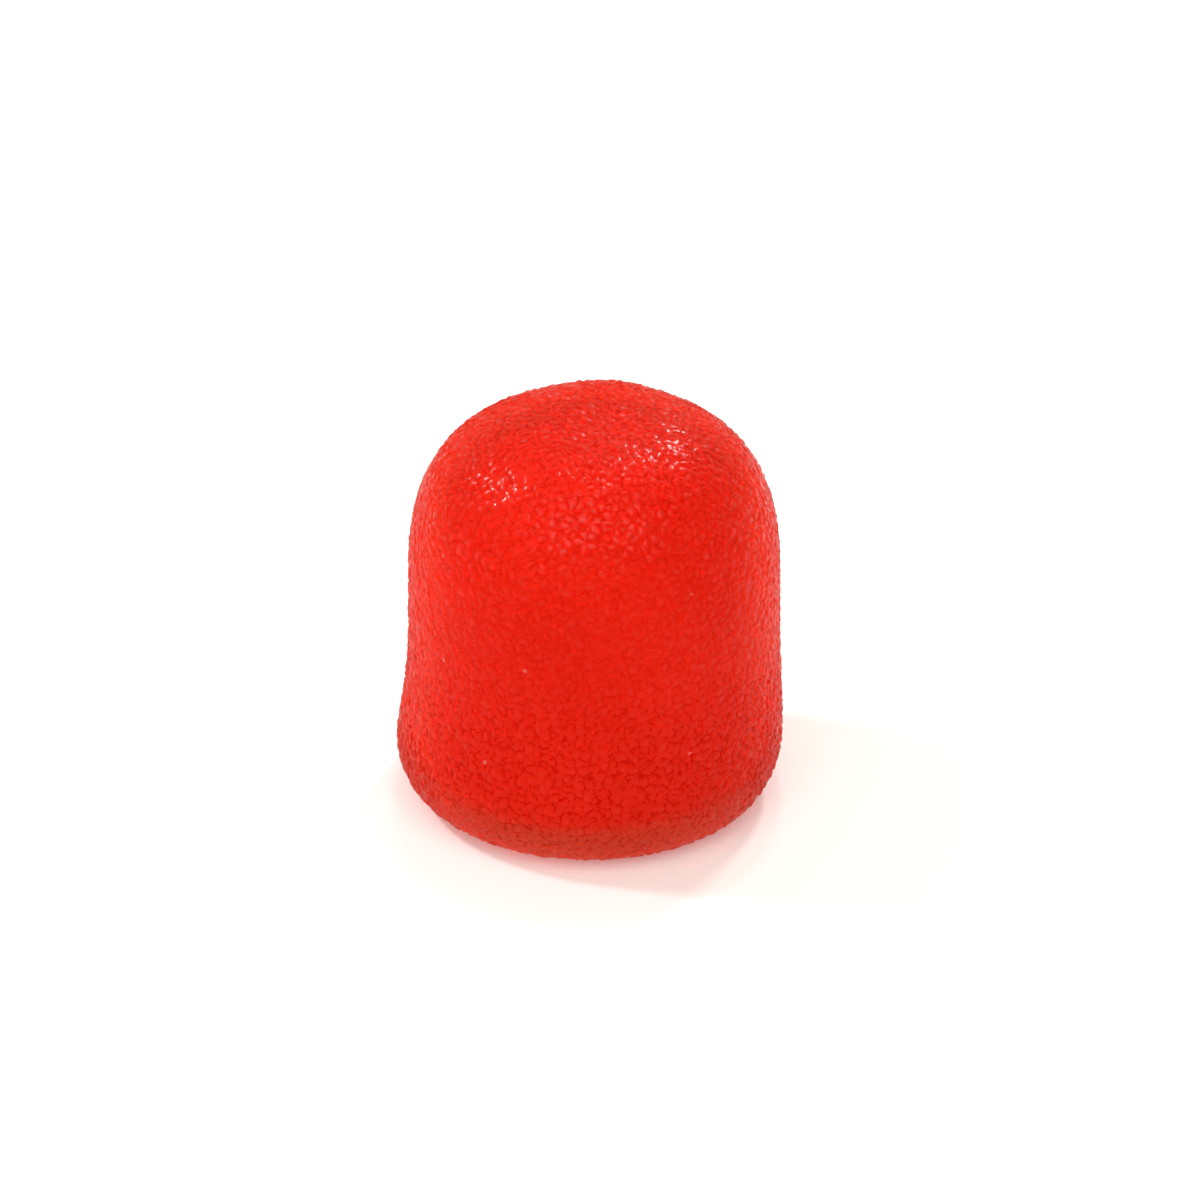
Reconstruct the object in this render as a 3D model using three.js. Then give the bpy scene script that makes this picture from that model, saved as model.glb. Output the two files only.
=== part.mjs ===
// A case opening friction ball: a squat, tacky gel ball that is pressed on a watch's screw-down
// case back and turned by hand. A soft grained skin holds a softer gel filling, and a barbed plug
// closes the hole in the foot that the gel was poured through.
// Millimetres, +Z up, -Y towards the front. The origin is on the flat foot, under the middle.

import * as THREE from 'three';

// The body: an upright barrel on a flat foot, with a rounded foot edge and a domed top.
const bodyHeight = 54;
const footFlatRadius = 18.5;
const footRadius = 24.7;
const footEdgeHeight = 9;
const waistRadius = 24.1;
const waistHeight = 27;
const shoulderRadius = 24;
const shoulderHeight = 30;
const shoulderSquareness = 2.8; // 2 is an ellipse, and more is squarer

// How the soft body has settled: the foot has spread to one side.
const footSpread = 1.5;
const footSpreadHeight = 5;
const footSpreadReach = 8.5;

// Soft swells and dents of the top: the place of the middle, the turn of the long way from +X in
// degrees, how far it reaches along and across that way, and how high it rises.
const topSwells = [
  { x: 1.8, y: 9, turn: 0, along: 5.5, across: 5, rise: 0.8 },
  { x: 2.5, y: -4, turn: 48, along: 7, across: 3, rise: -0.45 },
  { x: -6, y: 1, turn: 40, along: 9, across: 4, rise: 0.35 },
];
const topSwellFade = 6; // how quickly a swell dies away below the crown

// The skin, the filling and the plug.
const skinWall = 3;
const fit = 0.3; // between pieces that are bonded face to face
const plugRecess = 0.3; // how far the plug stays above what the ball stands on
const plugStemRadius = 4;
const plugBarbRadius = 5.5;
const plugBarbHeight = 2.5;
const plugTipRadius = 3;

// How finely the round shapes are stepped.
const turnSteps = 56;
const plugTurnSteps = 28;
const grainedSteps = { foot: 5, wall: 6, shoulder: 12 };
const bondedSteps = { foot: 4, wall: 4, shoulder: 8 };

const ease = (share) => share * share * (3 - 2 * share);

// The wall's radius between the foot's edge and the shoulder.
function wallRadius(z) {
  if (z < waistHeight) {
    const share = (z - footEdgeHeight) / (waistHeight - footEdgeHeight);
    return THREE.MathUtils.lerp(footRadius, waistRadius, ease(share));
  }
  const share = (z - waistHeight) / (shoulderHeight - waistHeight);
  return THREE.MathUtils.lerp(waistRadius, shoulderRadius, ease(share));
}

// The body's half outline from the edge of the flat foot up to the axis, moved inwards by inset.
function bodyOutline(inset, steps) {
  const outline = [];
  const footEdgeRise = footEdgeHeight - inset;
  const footEdgeRun = footRadius - footFlatRadius;
  for (let i = 0; i <= steps.foot; i++) {
    const turn = (i / steps.foot) * (Math.PI / 2);
    const radius = footFlatRadius - inset + footEdgeRun * Math.sin(turn);
    outline.push(new THREE.Vector2(radius, inset + footEdgeRise * (1 - Math.cos(turn))));
  }
  for (let i = 1; i <= steps.wall; i++) {
    const z = THREE.MathUtils.lerp(footEdgeHeight, shoulderHeight, i / steps.wall);
    outline.push(new THREE.Vector2(wallRadius(z) - inset, z));
  }
  const domeRise = bodyHeight - inset - shoulderHeight;
  for (let i = 1; i < steps.shoulder; i++) {
    const turn = (i / steps.shoulder) * (Math.PI / 2);
    const radius = (shoulderRadius - inset) * Math.cos(turn) ** (2 / shoulderSquareness);
    const z = shoulderHeight + domeRise * Math.sin(turn) ** (2 / shoulderSquareness);
    outline.push(new THREE.Vector2(radius, z));
  }
  outline.push(new THREE.Vector2(0, bodyHeight - inset));
  return outline;
}

// Moves a point of the true barrel to where it lies in the settled one. The foot stays flat, and
// the box of the settled body stays centred on the origin.
function settle(point) {
  const radius = Math.hypot(point.x, point.y);
  const towardsSpread = radius > 0 ? (1 - point.x / radius) / 2 : 0;
  const spreadHere = Math.exp(-(((point.z - footSpreadHeight) / footSpreadReach) ** 2));
  const spread = footSpread * spreadHere * towardsSpread ** 2;
  const grow = 1 + spread / footRadius;
  let lift = 0;
  for (const swell of topSwells) {
    const away = new THREE.Vector2(point.x - swell.x, point.y - swell.y);
    away.rotateAround(new THREE.Vector2(), -THREE.MathUtils.degToRad(swell.turn));
    const along = (away.x / swell.along) ** 2;
    const across = (away.y / swell.across) ** 2;
    lift += swell.rise * Math.exp(-along - across) * (point.z / bodyHeight) ** topSwellFade;
  }
  point.set(point.x * grow + footSpread / 2, point.y * grow, point.z + lift);
}

// Turns an outline into a closed body of revolution about Z, and settles it.
function turned(outline, steps) {
  const geometry = new THREE.LatheGeometry(outline, steps);
  geometry.rotateX(Math.PI / 2);
  const place = geometry.getAttribute('position');
  const point = new THREE.Vector3();
  for (let i = 0; i < place.count; i++) {
    point.fromBufferAttribute(place, i);
    settle(point);
    place.setXYZ(i, point.x, point.y, point.z);
  }
  geometry.computeVertexNormals();
  return geometry;
}

// The skin: a closed bag of even wall, open only at the filling hole in the middle of the foot.
function gripSkin() {
  const holeRadius = plugStemRadius + fit;
  const hole = [new THREE.Vector2(holeRadius, skinWall), new THREE.Vector2(holeRadius, 0)];
  const inside = bodyOutline(skinWall, bondedSteps).reverse();
  const outside = bodyOutline(0, grainedSteps);
  return turned([...inside, ...hole, ...outside], turnSteps);
}

// The filling: it fills the skin, with a pocket in its underside for the plug's barb.
function gelCore() {
  const inset = skinWall + fit;
  const pocketRadius = plugBarbRadius + fit;
  const pocketTop = skinWall + fit + plugBarbHeight + fit;
  const pocket = [
    new THREE.Vector2(0, pocketTop),
    new THREE.Vector2(plugTipRadius + fit, pocketTop),
    new THREE.Vector2(pocketRadius, inset),
  ];
  return turned([...pocket, ...bodyOutline(inset, bondedSteps)], turnSteps);
}

// The plug: a stem as long as the skin's wall, and a barb behind the wall that holds it in.
function fillPlug() {
  const barbFoot = skinWall + fit;
  const outline = [
    new THREE.Vector2(0, plugRecess),
    new THREE.Vector2(plugStemRadius, plugRecess),
    new THREE.Vector2(plugStemRadius, barbFoot),
    new THREE.Vector2(plugBarbRadius, barbFoot),
    new THREE.Vector2(plugTipRadius, barbFoot + plugBarbHeight),
    new THREE.Vector2(0, barbFoot + plugBarbHeight),
  ];
  return turned(outline, plugTurnSteps);
}

function piece(name, geometry, color, roughness) {
  const material = new THREE.MeshStandardMaterial({ color, roughness, metalness: 0 });
  const mesh = new THREE.Mesh(geometry, material);
  mesh.name = name;
  return mesh;
}

const ball = new THREE.Group();
ball.add(piece('grip_skin', gripSkin(), 0xd62a18, 0.45));
ball.add(piece('gel_core', gelCore(), 0xe8301e, 0.25));
ball.add(piece('fill_plug', fillPlug(), 0xb8200f, 0.4));

export default ball;
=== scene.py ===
import math

import bpy
import numpy as np
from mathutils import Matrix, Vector


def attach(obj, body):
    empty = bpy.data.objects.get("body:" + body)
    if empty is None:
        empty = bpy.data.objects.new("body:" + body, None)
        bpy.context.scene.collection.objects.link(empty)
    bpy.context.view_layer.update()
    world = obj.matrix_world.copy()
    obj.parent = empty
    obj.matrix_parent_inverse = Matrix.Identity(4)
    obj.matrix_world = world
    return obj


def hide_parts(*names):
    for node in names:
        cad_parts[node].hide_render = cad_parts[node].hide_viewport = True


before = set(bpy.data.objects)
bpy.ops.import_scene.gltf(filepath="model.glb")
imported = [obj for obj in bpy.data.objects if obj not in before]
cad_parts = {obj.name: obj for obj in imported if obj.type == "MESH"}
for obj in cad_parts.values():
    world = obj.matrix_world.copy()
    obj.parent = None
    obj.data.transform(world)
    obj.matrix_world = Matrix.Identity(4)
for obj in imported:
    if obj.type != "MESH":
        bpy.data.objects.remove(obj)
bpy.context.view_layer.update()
scene = bpy.context.scene
MM = 0.001


# ---------------------------------------------------------------------------------------------
# The table. The ball stands on a sheet of white acrylic that is faintly lit from below, in a soft
# light tent. Its sticky foot wets the sheet, so the sheet is a hair above the foot's own plane.
# ---------------------------------------------------------------------------------------------

SHEET_HALF = 3.0
WET_CONTACT = 0.03 * MM
SHEET_COLOUR = (0.88, 0.855, 0.84, 1)
SHEET_GLOW_COLOUR = (1.0, 0.97, 0.95, 1)
SHEET_GLOW = 0.2
SHEET_ROUGH, SHEET_SHINE = 0.6, 0.2

CAMERA_RISE = math.radians(27)
CAMERA_DISTANCE = 0.52
CAMERA_AIM = Vector((1.5, 0, 27.3)) * MM
CAMERA_LENS, CAMERA_SENSOR = 120, 36

TENT_COLOUR, TENT_LIGHT = (1.0, 0.86, 0.74, 1), 0.52
LAMP_AIM = (0, 0, 0.04)
LAMPS = (  # name, place, size, power in watts
    ("left_box", (-0.48, 0.12, 0.54), (0.08, 0.08), 2.0),
    ("right_box", (0.24, 0.42, 0.56), (0.08, 0.08), 1.5),
    ("top_box", (0.03, 0.19, 0.72), (0.05, 0.05), 0.5),
    ("front_box", (0.0, -0.55, 0.75), (1.0, 0.8), 4.3),
)


def linked(data, name):
    thing = bpy.data.objects.new(name, data)
    scene.collection.objects.link(thing)
    return thing


def mesh_from(name, points, faces):
    mesh = bpy.data.meshes.new(name)
    mesh.from_pydata([tuple(p) for p in points], [], faces)
    mesh.validate()
    mesh.update()
    return mesh


def table_camera():
    lens = bpy.data.cameras.new("camera")
    lens.lens, lens.sensor_width = CAMERA_LENS, CAMERA_SENSOR
    camera = linked(lens, "camera")
    back = Vector((0, -math.cos(CAMERA_RISE), math.sin(CAMERA_RISE)))
    camera.location = CAMERA_AIM + back * CAMERA_DISTANCE
    camera.rotation_euler = (-back).to_track_quat("-Z", "Y").to_euler()
    scene.camera = camera


def white_card():
    h, z = SHEET_HALF, WET_CONTACT
    corners = [(-h, -h, z), (h, -h, z), (h, h, z), (-h, h, z)]
    card = linked(mesh_from("card", corners, [(0, 1, 2, 3)]), "card")
    material = bpy.data.materials.new("white_card")
    material.use_nodes = True
    shader = material.node_tree.nodes["Principled BSDF"]
    for socket, value in (("Base Color", SHEET_COLOUR), ("Roughness", SHEET_ROUGH),
                          ("Specular IOR Level", SHEET_SHINE),
                          ("Emission Color", SHEET_GLOW_COLOUR), ("Emission Strength", SHEET_GLOW)):
        shader.inputs[socket].default_value = value
    card.data.materials.append(material)


def light_tent():
    world = bpy.data.worlds.new("tent")
    world.use_nodes = True
    world.node_tree.nodes["Background"].inputs["Color"].default_value = TENT_COLOUR
    world.node_tree.nodes["Background"].inputs["Strength"].default_value = TENT_LIGHT
    scene.world = world
    for name, place, size, power in LAMPS:
        lamp = bpy.data.lights.new(name, "AREA")
        lamp.shape = "RECTANGLE"
        lamp.size, lamp.size_y = size
        lamp.energy = power
        light = linked(lamp, name)
        light.location = place
        light.rotation_euler = (Vector(LAMP_AIM) - Vector(place)).to_track_quat("-Z", "Y").to_euler()


table_camera()
white_card()
light_tent()
scene.view_settings.view_transform = "Standard"


# ---------------------------------------------------------------------------------------------
# The grip skin: a bag of see-through red elastomer, 3 mm thick, moulded with a leather grain and
# tacky to the touch. It is one moulding, open only at the filling hole in its foot.
# ---------------------------------------------------------------------------------------------

BODY_HEIGHT = 54 * MM
FOOT_FLAT_RADIUS = 18.5 * MM
FOOT_RADIUS = 24.7 * MM
FOOT_EDGE_HEIGHT = 9 * MM
WAIST_RADIUS = 24.1 * MM
WAIST_HEIGHT = 27 * MM
SHOULDER_RADIUS = 24 * MM
SHOULDER_HEIGHT = 30 * MM
SHOULDER_SQUARENESS = 2.8
FOOT_SPREAD = 1.5 * MM
FOOT_SPREAD_HEIGHT = 5 * MM
FOOT_SPREAD_REACH = 8.5 * MM
TOP_SWELLS = (  # x, y, turn in degrees, reach along, reach across, rise
    (1.8, 9, 0, 5.5, 5, 0.8),
    (2.5, -4, 48, 7, 3, -0.45),
    (-6, 1, 40, 9, 4, 0.35),
)
TOP_SWELL_FADE = 6
DOME_POINTS, WALL_POINTS, EDGE_POINTS = 400, 200, 60  # how finely the outline is drawn

SKIN_WALL = 3 * MM
HOLE_RADIUS = 4.3 * MM
HOLE_LIP = 0.3 * MM
ACROSS = 120  # faces across the crown's patch: four times as many go round the wall
COARSER = 4  # how many times coarser the smooth inside is stepped
CROWN_SHARE = 0.36  # how much of the outline the patch on the crown takes up
SHARP_EDGE = math.radians(40)


def body_outline(inset):
    """Radius and height of the barrel's half outline, from the crown down to the flat foot."""
    turn = np.linspace(math.pi / 2, 0, DOME_POINTS)
    dome = (
        (SHOULDER_RADIUS - inset) * np.cos(turn).clip(0) ** (2 / SHOULDER_SQUARENESS),
        SHOULDER_HEIGHT
        + (BODY_HEIGHT - inset - SHOULDER_HEIGHT) * np.sin(turn) ** (2 / SHOULDER_SQUARENESS),
    )
    z = np.linspace(SHOULDER_HEIGHT, FOOT_EDGE_HEIGHT, WALL_POINTS)[1:]
    low = ((z - FOOT_EDGE_HEIGHT) / (WAIST_HEIGHT - FOOT_EDGE_HEIGHT)).clip(0, 1)
    high = ((z - WAIST_HEIGHT) / (SHOULDER_HEIGHT - WAIST_HEIGHT)).clip(0, 1)
    ease_low, ease_high = low * low * (3 - 2 * low), high * high * (3 - 2 * high)
    wall = FOOT_RADIUS + (WAIST_RADIUS - FOOT_RADIUS) * ease_low
    wall = wall + (SHOULDER_RADIUS - WAIST_RADIUS) * ease_high - inset
    turn = np.linspace(math.pi / 2, 0, EDGE_POINTS)[1:]
    edge = (
        FOOT_FLAT_RADIUS - inset + (FOOT_RADIUS - FOOT_FLAT_RADIUS) * np.sin(turn),
        inset + (FOOT_EDGE_HEIGHT - inset) * (1 - np.cos(turn)),
    )
    return np.concatenate([dome[0], wall, edge[0]]), np.concatenate([dome[1], z, edge[1]])


def settle(x, y, z):
    """Moves points of the true barrel to where they lie in the settled one, with its spread foot."""
    radius = np.hypot(x, y)
    towards = (1 - x / np.maximum(radius, 1e-9)) / 2
    spread = FOOT_SPREAD * np.exp(-(((z - FOOT_SPREAD_HEIGHT) / FOOT_SPREAD_REACH) ** 2)) * towards**2
    grow = 1 + spread / FOOT_RADIUS
    lift = np.zeros_like(z)
    for at_x, at_y, turn, reach, width, rise in TOP_SWELLS:
        dx, dy, turn = x - at_x * MM, y - at_y * MM, math.radians(turn)
        along = (dx * math.cos(turn) + dy * math.sin(turn)) / (reach * MM)
        across = (dy * math.cos(turn) - dx * math.sin(turn)) / (width * MM)
        lift += rise * MM * np.exp(-(along**2) - across**2) * (z / BODY_HEIGHT) ** TOP_SWELL_FADE
    return x * grow + FOOT_SPREAD / 2, y * grow, z + lift


def disc_patch(across):
    """A square grid squeezed into a disc: each point's share of the radius, its angle, the faces
    and the points of the rim in order."""
    grid = np.linspace(-1, 1, across + 1)
    a, b = np.meshgrid(grid, grid, indexing="ij")
    far = np.maximum(abs(a), abs(b))
    sideways = abs(a) > abs(b)
    lead, other = np.where(sideways, a, b), np.where(sideways, b, a)
    lean = np.divide(other, lead, out=np.zeros_like(a), where=far > 0)
    angle = np.where(sideways, lean, 2 - lean) * math.pi / 4 + np.where(lead < 0, math.pi, 0)
    index = np.arange((across + 1) ** 2).reshape(across + 1, across + 1)
    faces = np.stack([index[:-1, :-1], index[1:, :-1], index[1:, 1:], index[:-1, 1:]], -1)
    rim = np.concatenate([index[:-1, 0], index[-1, :-1], index[:0:-1, -1], index[0, :0:-1]])
    return far.ravel(), angle.ravel(), faces.reshape(-1, 4), rim


def turned(name, outline, rings):
    """A settled, closed body of revolution. The outline runs from the axis at the top to the axis
    again. Each ring is a run along it and a number of points, which may halve from ring to ring."""
    radius, height = (np.array(side) for side in outline)
    along = np.concatenate([[0], np.cumsum(np.hypot(np.diff(radius), np.diff(height)))])

    def at(run, angle):
        r, z = np.interp(run, along, radius), np.interp(run, along, height)
        return np.stack([r * np.cos(angle), r * np.sin(angle), z + 0 * angle], -1)

    far, angle, faces, rim = disc_patch(rings[0][1] // 4)
    points, runs, quads, slivers = [at(far * rings[0][0], angle)], [far * rings[0][0]], [faces], []
    above, turn, count = rim, angle[rim], len(far)
    for run, around in rings[1:]:
        ring = count + np.arange(around)
        if around < len(above):
            left, middle, right = above[::2], above[1::2], np.roll(above[::2], -1)
            turn = turn[::2]
            after = np.roll(ring, -1)
            slivers += [np.stack(trio, -1) for trio in
                        ((left, ring, middle), (middle, ring, after), (middle, after, right))]
        else:
            quads.append(np.stack([above, ring, np.roll(ring, -1), np.roll(above, -1)], -1))
        points.append(at(run, turn))
        runs.append(np.full(around, run))
        above, count = ring, count + around
    far, angle, faces, rim = disc_patch(rings[-1][1] // 4)
    number = np.full(len(far), -1)
    number[rim] = above
    inner = np.where(number < 0)[0]
    number[inner] = count + np.arange(len(inner))
    run = along[-1] - far[inner] * (along[-1] - rings[-1][0])
    points.append(at(run, angle[inner]))
    runs.append(run)
    quads.append(number[faces][:, ::-1])

    corners = np.concatenate(quads).tolist()
    if slivers:
        corners += np.concatenate(slivers).tolist()
    mesh = mesh_from(name, np.stack(settle(*np.concatenate(points).T), -1), corners)
    mesh.shade_smooth()
    return mesh, np.concatenate(runs)


def steps(start, end, pitch, around):
    """Rings a pitch apart from start to end, both included."""
    number = max(1, round((end - start) / pitch))
    return [(start + (end - start) * k / number, around) for k in range(number + 1)]


def run_length(outline):
    return float(np.sum(np.hypot(np.diff(outline[0]), np.diff(outline[1]))))


GRAIN_UNIT = 1.4 * MM  # the grain's other sizes are shares of this one
PEBBLES = 1.25  # how many pebbles go in a unit, which makes one 1.12 mm across
STRAY, STRAY_RATE = 0.7, 0.9  # how far the pebbles' edges wander, and how often in a unit
SWELL_RATE = 1.8  # how many of the grain's softer swells go in a unit
SWELL_RANGE = (0.3, 0.7)
GRAIN_DETAIL = 1.5
PEBBLE_ROUND = 0.36  # how far in from its edge a pebble is rounded
PEBBLE_SHARE = 0.62  # of the grain's height; the swells have the rest
# These two shape the mask of painted shade in the creases, which is colour only and no relief.
CREASE_WIDTH = 0.13
CREASE_GAPS = (0.58, 0.42)  # the creases run out where the swells are high

GRAIN_DEPTH = 0.36 * MM
GRAIN_LEVEL = 0.3  # the share of the depth that lies below the moulded surface
GRAIN_FADE, GRAIN_END = 3 * MM, 0.6 * MM  # the grain dies away, and ends short of the smooth sole
GRIP_HEIGHT, GRIP_REACH = 36 * MM, 14 * MM  # the grain is shallower round the middle of the wall
GRIP_SQUARENESS = 4
# The first makes the grain shallower round the middle of the wall. The second makes the painted shade in
# the creases paler there.
RELIEF_WEAR, CREASE_SHADE_THINNING = 0.2, 0.55
CROWN_FROM, CROWN_FADE, WALL_SHINE = 36 * MM, 8 * MM, 0.3  # the film is full only on the crown


def point_values(mesh, name, values):
    mesh.attributes.new(name, "FLOAT", "POINT").data.foreach_set("value", values)


def skin_mesh():
    outside = body_outline(0)
    inside = [side[::-1] for side in body_outline(SKIN_WALL)]
    lip = ([HOLE_RADIUS + HOLE_LIP, HOLE_RADIUS, HOLE_RADIUS], [0, HOLE_LIP, SKIN_WALL])
    outline = [np.concatenate([outside[i], lip[i], inside[i]]) for i in (0, 1)]
    fine, around = 2 * math.pi * WAIST_RADIUS / (4 * ACROSS), 4 * ACROSS
    crown = run_length(outside) * CROWN_SHARE
    edge = run_length(outside)
    sole_in = edge + FOOT_FLAT_RADIUS - HOLE_RADIUS - HOLE_LIP
    lip_in = sole_in + HOLE_LIP * math.sqrt(2)
    roof = lip_in + SKIN_WALL - HOLE_LIP
    end = run_length(outline)
    coarse = fine * COARSER
    rings = steps(crown, edge, fine, around)
    rings += [(edge + fine * 2, around // 2), (edge + fine * 5, around // 4)]
    rings += steps(edge + coarse * 2, sole_in, coarse, around // 4)
    rings += [(lip_in, around // 4)] + steps(lip_in + coarse, roof, coarse, around // 4)
    rings += steps(roof + coarse, end - run_length(inside) * CROWN_SHARE, coarse, around // 4)
    mesh, runs = turned("tacky_skin", outline, rings)

    z = np.array([v.co.z for v in mesh.vertices])
    fade = ((edge - GRAIN_END - runs) / GRAIN_FADE).clip(0, 1)
    gripped = np.exp(-(((z - GRIP_HEIGHT) / GRIP_REACH) ** GRIP_SQUARENESS))
    point_values(mesh, "grained", fade * (1 - RELIEF_WEAR * gripped))
    point_values(mesh, "crown", ((z - CROWN_FROM) / CROWN_FADE).clip(WALL_SHINE, 1))
    # How much painted shade the creases get: less round the middle of the wall.
    point_values(mesh, "painted_crease_shade", fade * (1 - CREASE_SHADE_THINNING * gripped))
    mesh.set_sharp_from_angle(angle=SHARP_EDGE)
    return mesh


def math_node(tree, operation, *values):
    """A Math node fed with numbers or with other nodes' sockets."""
    made = tree.nodes.new("ShaderNodeMath")
    made.operation = operation
    for slot, value in zip(made.inputs, values):
        if isinstance(value, (int, float)):
            slot.default_value = value
        else:
            tree.links.new(value, slot)
    return made.outputs[0]


def grain_height(tree, place, unit):
    """Adds the leather grain's nodes to a tree: its height, 0 to 1, and how much of a crease it is."""
    nodes, links = tree.nodes, tree.links

    def texture(kind, rate, at):
        made = nodes.new(kind)
        links.new(math_node(tree, "DIVIDE", rate, unit), made.inputs["Scale"])
        links.new(at, made.inputs["Vector"])
        return made

    def noise(rate):
        made = texture("ShaderNodeTexNoise", rate, place)
        made.inputs["Detail"].default_value = GRAIN_DETAIL
        return made

    def ranged(value, low, high):
        made = nodes.new("ShaderNodeMapRange")
        made.interpolation_type = "SMOOTHSTEP"
        made.inputs["From Min"].default_value = low
        made.inputs["From Max"].default_value = high
        links.new(value, made.inputs["Value"])
        return made.outputs[0]

    strayed = nodes.new("ShaderNodeVectorMath")
    strayed.operation = "MULTIPLY_ADD"
    links.new(noise(STRAY_RATE).outputs["Color"], strayed.inputs[0])
    links.new(math_node(tree, "MULTIPLY", STRAY, unit), strayed.inputs[1])
    links.new(place, strayed.inputs[2])
    cells = texture("ShaderNodeTexVoronoi", PEBBLES, strayed.outputs[0])
    cells.feature = "DISTANCE_TO_EDGE"
    edge = cells.outputs["Distance"]
    swell = noise(SWELL_RATE).outputs[0]
    pebble = math_node(tree, "MULTIPLY", ranged(edge, 0.0, PEBBLE_ROUND), PEBBLE_SHARE)
    soft = math_node(tree, "MULTIPLY", ranged(swell, *SWELL_RANGE), 1 - PEBBLE_SHARE)
    crease = math_node(tree, "MULTIPLY", ranged(edge, CREASE_WIDTH, 0.0), ranged(swell, *CREASE_GAPS))
    return math_node(tree, "ADD", pebble, soft), crease


def grain_tree():
    """Geometry Nodes that press the grain into a mesh, leave where it was as "moulded", and give
    the mesh its finish."""
    tree = bpy.data.node_groups.new("leather_grain", "GeometryNodeTree")
    for name, kind in (("Geometry", "Geometry"), ("Unit", "Float"), ("Depth", "Float"),
                       ("Level", "Float"), ("Finish", "Material")):
        tree.interface.new_socket(name, in_out="INPUT", socket_type="NodeSocket" + kind)
    tree.interface.new_socket("Geometry", in_out="OUTPUT", socket_type="NodeSocketGeometry")
    nodes, links = tree.nodes, tree.links
    given, made = nodes.new("NodeGroupInput"), nodes.new("NodeGroupOutput")
    place = nodes.new("GeometryNodeInputPosition").outputs[0]
    moulded = nodes.new("GeometryNodeStoreNamedAttribute")
    moulded.data_type = "FLOAT_VECTOR"
    moulded.inputs["Name"].default_value = "moulded"
    links.new(given.outputs["Geometry"], moulded.inputs["Geometry"])
    links.new(place, moulded.inputs["Value"])
    grained = nodes.new("GeometryNodeInputNamedAttribute")
    grained.data_type = "FLOAT"
    grained.inputs["Name"].default_value = "grained"
    height, crease = grain_height(tree, place, given.outputs["Unit"])
    raised = math_node(tree, "SUBTRACT", height, given.outputs["Level"])
    faded = math_node(tree, "MULTIPLY", raised, grained.outputs["Attribute"])
    outwards = nodes.new("ShaderNodeVectorMath")
    outwards.operation = "SCALE"
    links.new(nodes.new("GeometryNodeInputNormal").outputs[0], outwards.inputs[0])
    links.new(math_node(tree, "MULTIPLY", faded, given.outputs["Depth"]), outwards.inputs["Scale"])
    press = nodes.new("GeometryNodeSetPosition")
    links.new(moulded.outputs[0], press.inputs["Geometry"])
    links.new(outwards.outputs[0], press.inputs["Offset"])
    solid = nodes.new("GeometryNodeRealizeInstances")
    links.new(press.outputs[0], solid.inputs[0])
    dress = nodes.new("GeometryNodeSetMaterial")
    links.new(solid.outputs[0], dress.inputs["Geometry"])
    links.new(given.outputs["Finish"], dress.inputs["Material"])
    links.new(dress.outputs[0], made.inputs[0])
    return tree


DRIFT_RANGE = (0.35, 0.65)
DUST_REACH = 0.11  # a speck's radius, as a share of the dust size
DUST_RARITY = 0.93  # the share of places that have no speck
DUST_COLOUR = (1.0, 0.55, 0.45, 1)
GLOSS_DRIFT = 0.1

GEL_IOR = 1.15
GEL_SHINE = 0.12
GEL_SHINE_TINT = (1.0, 0.3, 0.2, 1)
DEPTH_COLOUR, DEPTH_DENSITY = (0.99, 0.3, 0.12, 1), 80

SKIN_DYE = (1.0, 0.07, 0.024, 1)
SKIN_DEEP_DYE = (0.95, 0.058, 0.018, 1)
SKIN_DRIFT, SKIN_DUST = 16 * MM, 2.6 * MM
SKIN_ROUGH = 0.28
SKIN_CLEAR = 0.8
# A darker red painted into the creases as shade.
CREASE_SHADE_COLOUR = (0.66, 0.022, 0.006, 1)
FINE_BUMP = 0.2 * MM
FILM_FROM = 0.3  # how high in the grain the glossy film starts
FILM_ROUGH, FILM_IOR = 0.2, 1.4


def blend(tree, share, first, second):
    """The colour between two others, each of them a colour or a socket."""
    made = tree.nodes.new("ShaderNodeMix")
    made.data_type = "RGBA"
    tree.links.new(share, made.inputs["Factor"])
    for slot, colour in ((made.inputs[6], first), (made.inputs[7], second)):
        if isinstance(colour, tuple):
            slot.default_value = colour
        else:
            tree.links.new(colour, slot)
    return made.outputs[2]


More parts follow.
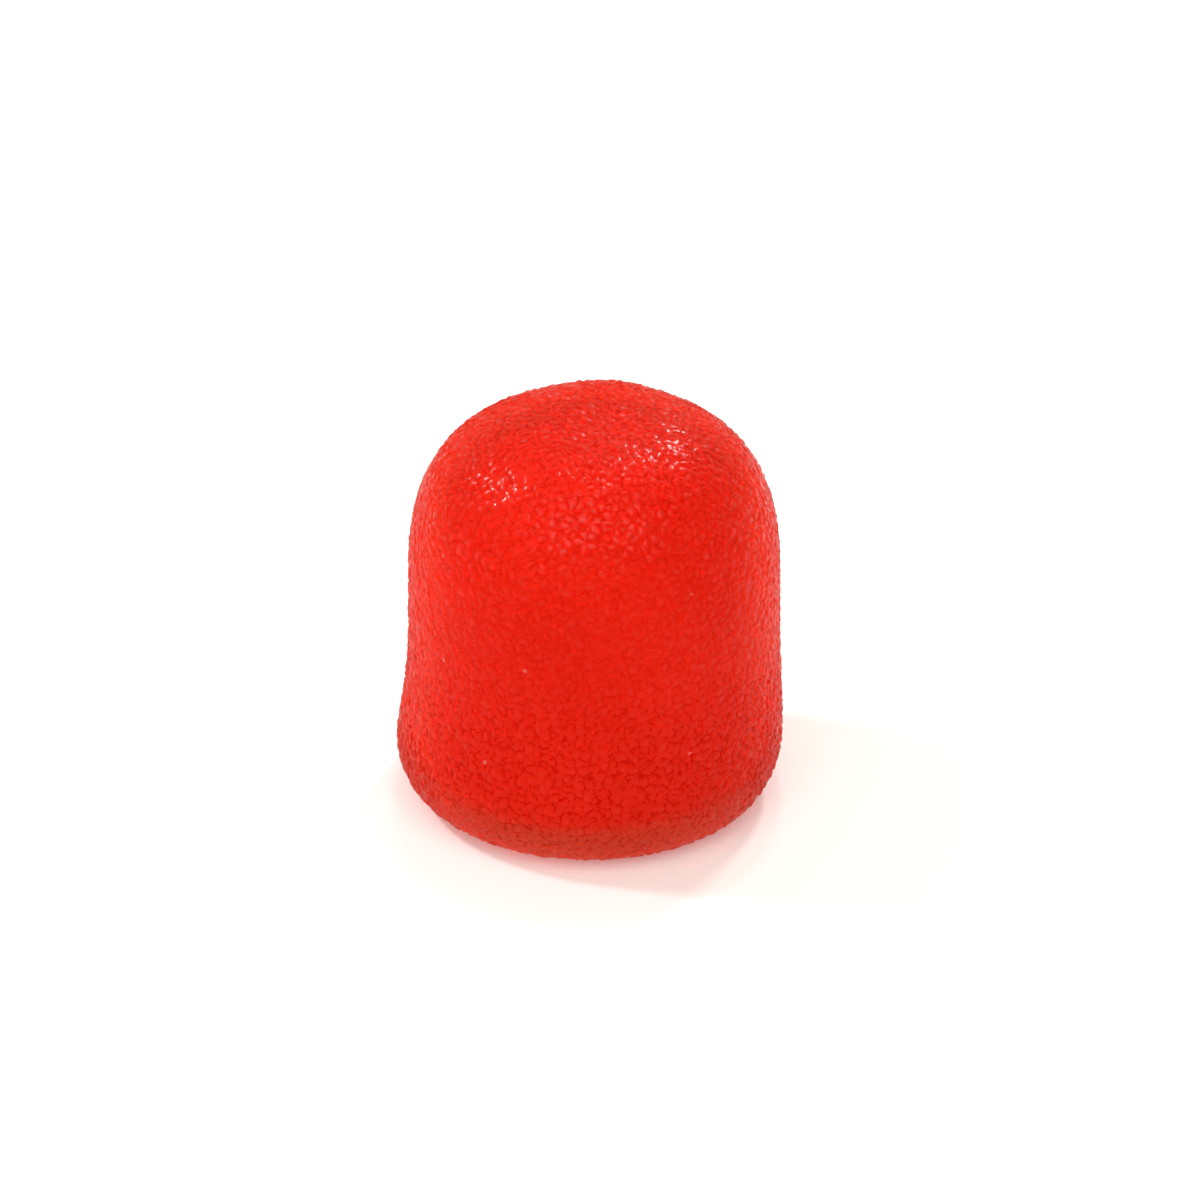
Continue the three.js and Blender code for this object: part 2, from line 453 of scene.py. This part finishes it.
def cloud_group():
    """What every piece of the gel shares: the dye's slow drift, specks of dust and uneven gloss."""
    group = bpy.data.node_groups.new("gel_clouds", "ShaderNodeTree")
    for name, way, kind in (("Place", "INPUT", "Vector"), ("Dye", "INPUT", "Color"),
                            ("Deep Dye", "INPUT", "Color"), ("Drift Size", "INPUT", "Float"),
                            ("Dust Size", "INPUT", "Float"), ("Roughness", "INPUT", "Float"),
                            ("Colour", "OUTPUT", "Color"), ("Roughness", "OUTPUT", "Float")):
        group.interface.new_socket(name, in_out=way, socket_type="NodeSocket" + kind)
    nodes, links = group.nodes, group.links
    given, made = nodes.new("NodeGroupInput"), nodes.new("NodeGroupOutput")

    def texture(kind, size):
        placed = nodes.new(kind)
        links.new(given.outputs["Place"], placed.inputs["Vector"])
        links.new(math_node(group, "DIVIDE", 1, given.outputs[size]), placed.inputs["Scale"])
        return placed

    drift = texture("ShaderNodeTexNoise", "Drift Size")
    drift.inputs["Detail"].default_value = 2
    deep = nodes.new("ShaderNodeMapRange")
    deep.inputs["From Min"].default_value, deep.inputs["From Max"].default_value = DRIFT_RANGE
    links.new(drift.outputs[0], deep.inputs["Value"])
    dye = blend(group, deep.outputs[0], given.outputs["Dye"], given.outputs["Deep Dye"])

    specks = texture("ShaderNodeTexVoronoi", "Dust Size")
    chosen = nodes.new("ShaderNodeSeparateColor")
    links.new(specks.outputs["Color"], chosen.inputs[0])
    near = math_node(group, "LESS_THAN", specks.outputs["Distance"], DUST_REACH)
    rare = math_node(group, "GREATER_THAN", chosen.outputs[0], DUST_RARITY)
    dust = math_node(group, "MULTIPLY", near, rare)
    links.new(blend(group, dust, dye, DUST_COLOUR), made.inputs["Colour"])
    gloss = math_node(group, "MULTIPLY_ADD", drift.outputs[0], GLOSS_DRIFT, given.outputs["Roughness"])
    links.new(gloss, made.inputs["Roughness"])
    return group


def gel_material(name, dye, deep_dye, drift, dust, rough):
    """Dyed gel under a tacky surface. It is still opaque: the piece says how light enters it."""
    material = bpy.data.materials.new(name)
    material.use_nodes = True
    nodes, links = material.node_tree.nodes, material.node_tree.links
    shader = nodes["Principled BSDF"]
    shader.inputs["IOR"].default_value = GEL_IOR
    shader.inputs["Specular IOR Level"].default_value = GEL_SHINE
    shader.inputs["Specular Tint"].default_value = GEL_SHINE_TINT
    clouds = nodes.new("ShaderNodeGroup")
    clouds.node_tree = CLOUDS
    links.new(nodes.new("ShaderNodeTexCoord").outputs["Object"], clouds.inputs["Place"])
    for socket, value in (("Dye", dye), ("Deep Dye", deep_dye), ("Drift Size", drift),
                          ("Dust Size", dust), ("Roughness", rough)):
        clouds.inputs[socket].default_value = value
    links.new(clouds.outputs["Colour"], shader.inputs["Base Color"])
    links.new(clouds.outputs["Roughness"], shader.inputs["Roughness"])
    return material, shader, clouds.outputs["Colour"]


def see_through(material, shader, clear):
    """Lets light pass through a gel, which reddens it more the deeper it goes."""
    shader.inputs["Transmission Weight"].default_value = clear
    nodes, links = material.node_tree.nodes, material.node_tree.links
    depth = nodes.new("ShaderNodeVolumeAbsorption")
    depth.inputs["Color"].default_value = DEPTH_COLOUR
    depth.inputs["Density"].default_value = DEPTH_DENSITY
    links.new(depth.outputs[0], nodes["Material Output"].inputs["Volume"])


def skin_material():
    material, shader, colour = gel_material(
        "grained_skin", SKIN_DYE, SKIN_DEEP_DYE, SKIN_DRIFT, SKIN_DUST, SKIN_ROUGH)
    see_through(material, shader, SKIN_CLEAR)
    shader.inputs["Coat Roughness"].default_value = FILM_ROUGH
    shader.inputs["Coat IOR"].default_value = FILM_IOR
    tree = material.node_tree
    nodes, links = tree.nodes, tree.links

    def stored(name, output="Fac"):
        made = nodes.new("ShaderNodeAttribute")
        made.attribute_name = name
        return made.outputs[output]

    height, crease = grain_height(tree, stored("moulded", "Vector"), GRAIN_UNIT)
    # The creases are darkened in the base colour. This is painted shade, and it is paler round the middle
    # of the wall.
    painted_shade = math_node(tree, "MULTIPLY", crease, stored("painted_crease_shade"))
    links.new(blend(tree, painted_shade, colour, CREASE_SHADE_COLOUR), shader.inputs["Base Color"])
    film = nodes.new("ShaderNodeMapRange")
    film.inputs["From Min"].default_value = FILM_FROM
    links.new(height, film.inputs["Value"])
    links.new(math_node(tree, "MULTIPLY", film.outputs[0], stored("crown")), shader.inputs["Coat Weight"])
    bump = nodes.new("ShaderNodeBump")
    bump.inputs["Strength"].default_value = 1.0
    bump.inputs["Distance"].default_value = FINE_BUMP
    links.new(math_node(tree, "MULTIPLY", height, stored("grained")), bump.inputs["Height"])
    links.new(bump.outputs[0], shader.inputs["Normal"])
    return material


def applied(thing):
    """The object with its modifiers made part of a plain mesh."""
    settled = bpy.data.meshes.new_from_object(thing.evaluated_get(bpy.context.evaluated_depsgraph_get()))
    thing.modifiers.clear()
    thing.data = settled
    return thing


def grip_skin():
    skin = linked(skin_mesh(), "tacky_skin")
    tree = grain_tree()
    grain = skin.modifiers.new("grain", "NODES")
    grain.node_group = tree
    named = {s.name: s.identifier for s in tree.interface.items_tree if s.in_out == "INPUT"}
    grain[named["Unit"]] = GRAIN_UNIT
    grain[named["Depth"]] = GRAIN_DEPTH
    grain[named["Level"]] = GRAIN_LEVEL
    grain[named["Finish"]] = skin_material()
    applied(skin)
    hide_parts("grip_skin")
    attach(skin, "root")


CLOUDS = cloud_group()
grip_skin()


# ---------------------------------------------------------------------------------------------
# The gel core: the softer gel that was poured into the skin through the hole and sticks to it. It
# fills the skin but for a pocket round the plug's barb, and a hair keeps the two surfaces apart.
# ---------------------------------------------------------------------------------------------

CORE_CLEARANCE = 0.02 * MM
BARB_RADIUS = 5.5 * MM
BARB_FOOT = 3.3 * MM
BARB_HEIGHT = 2.5 * MM
TIP_RADIUS = 3 * MM
CORE_AROUND = 120
CORE_DYE = (1.0, 0.1, 0.05, 1)
CORE_DEEP_DYE = (1.0, 0.08, 0.035, 1)
CORE_DRIFT, CORE_DUST = 11 * MM, 3.4 * MM
CORE_ROUGH = 0.3
CORE_MILK = 1.0  # how much of the light scatters inside, and how far each colour of it goes
CORE_SCATTER, CORE_SCATTER_REACH = (1.0, 0.12, 0.06), 20 * MM


def gel_core():
    inset = SKIN_WALL + CORE_CLEARANCE
    wall = body_outline(inset)
    mouth = [BARB_RADIUS, inset]
    pocket = ([BARB_RADIUS, TIP_RADIUS, 0],
              [BARB_FOOT, BARB_FOOT + BARB_HEIGHT, BARB_FOOT + BARB_HEIGHT])
    outline = [np.concatenate([wall[i], [mouth[i]], pocket[i]]) for i in (0, 1)]
    pitch = 2 * math.pi * WAIST_RADIUS / CORE_AROUND
    edge = run_length(wall)
    mouth_in = edge + wall[0][-1] - BARB_RADIUS
    foot = mouth_in + BARB_FOOT - inset
    tip = foot + math.hypot(BARB_RADIUS - TIP_RADIUS, BARB_HEIGHT)
    rings = steps(edge * CROWN_SHARE, edge, pitch, CORE_AROUND)
    rings += steps(edge + pitch, mouth_in, pitch, CORE_AROUND)
    rings += [(foot, CORE_AROUND)] + steps(foot + pitch, tip, pitch, CORE_AROUND)
    mesh, _ = turned("poured_gel", outline, rings)
    mesh.set_sharp_from_angle(angle=SHARP_EDGE)
    core = linked(mesh, "poured_gel")
    material, shader, _ = gel_material(
        "clear_gel", CORE_DYE, CORE_DEEP_DYE, CORE_DRIFT, CORE_DUST, CORE_ROUGH)
    shader.inputs["Subsurface Weight"].default_value = CORE_MILK
    shader.inputs["Subsurface Radius"].default_value = CORE_SCATTER
    shader.inputs["Subsurface Scale"].default_value = CORE_SCATTER_REACH
    core.data.materials.append(material)
    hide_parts("gel_core")
    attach(core, "root")


gel_core()


# ---------------------------------------------------------------------------------------------
# The plug: a barbed stopper of smooth red elastomer, moulded in one with a shallow dish in its end.
# It is pushed into the filling hole, and its barb holds it behind the skin's wall.
# ---------------------------------------------------------------------------------------------

PLUG_RECESS = 0.3 * MM
STEM_RADIUS = 4.25 * MM
DISH_RADIUS = 2.6 * MM
DISH_DEPTH = 0.5 * MM
PLUG_AROUND, PLUG_PITCH = 64, 0.4 * MM
PLUG_DYE = (0.8, 0.04, 0.01, 1)
PLUG_DEEP_DYE = (0.7, 0.03, 0.008, 1)
PLUG_DRIFT, PLUG_DUST = 3 * MM, 1.1 * MM
PLUG_ROUGH, PLUG_CLEAR = 0.3, 0.5


def fill_plug():
    top, end = BARB_FOOT + BARB_HEIGHT, STEM_RADIUS - HOLE_LIP
    outline = (
        [0, TIP_RADIUS, BARB_RADIUS, STEM_RADIUS, STEM_RADIUS, end, DISH_RADIUS, 0],
        [top, top, BARB_FOOT, BARB_FOOT, PLUG_RECESS + HOLE_LIP, PLUG_RECESS, PLUG_RECESS,
         PLUG_RECESS + DISH_DEPTH],
    )
    corners = np.cumsum(np.hypot(np.diff(outline[0]), np.diff(outline[1])))
    rings = []
    for start, stop in zip(corners[:-2], corners[1:-1]):
        rings += steps(start, stop, PLUG_PITCH, PLUG_AROUND)[:-1]
    rings.append((corners[-2], PLUG_AROUND))
    mesh, _ = turned("barbed_plug", outline, rings)
    mesh.set_sharp_from_angle(angle=SHARP_EDGE)
    plug = linked(mesh, "barbed_plug")
    material, shader, _ = gel_material(
        "plug_gel", PLUG_DYE, PLUG_DEEP_DYE, PLUG_DRIFT, PLUG_DUST, PLUG_ROUGH)
    see_through(material, shader, PLUG_CLEAR)
    plug.data.materials.append(material)
    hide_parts("fill_plug")
    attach(plug, "root")


fill_plug()
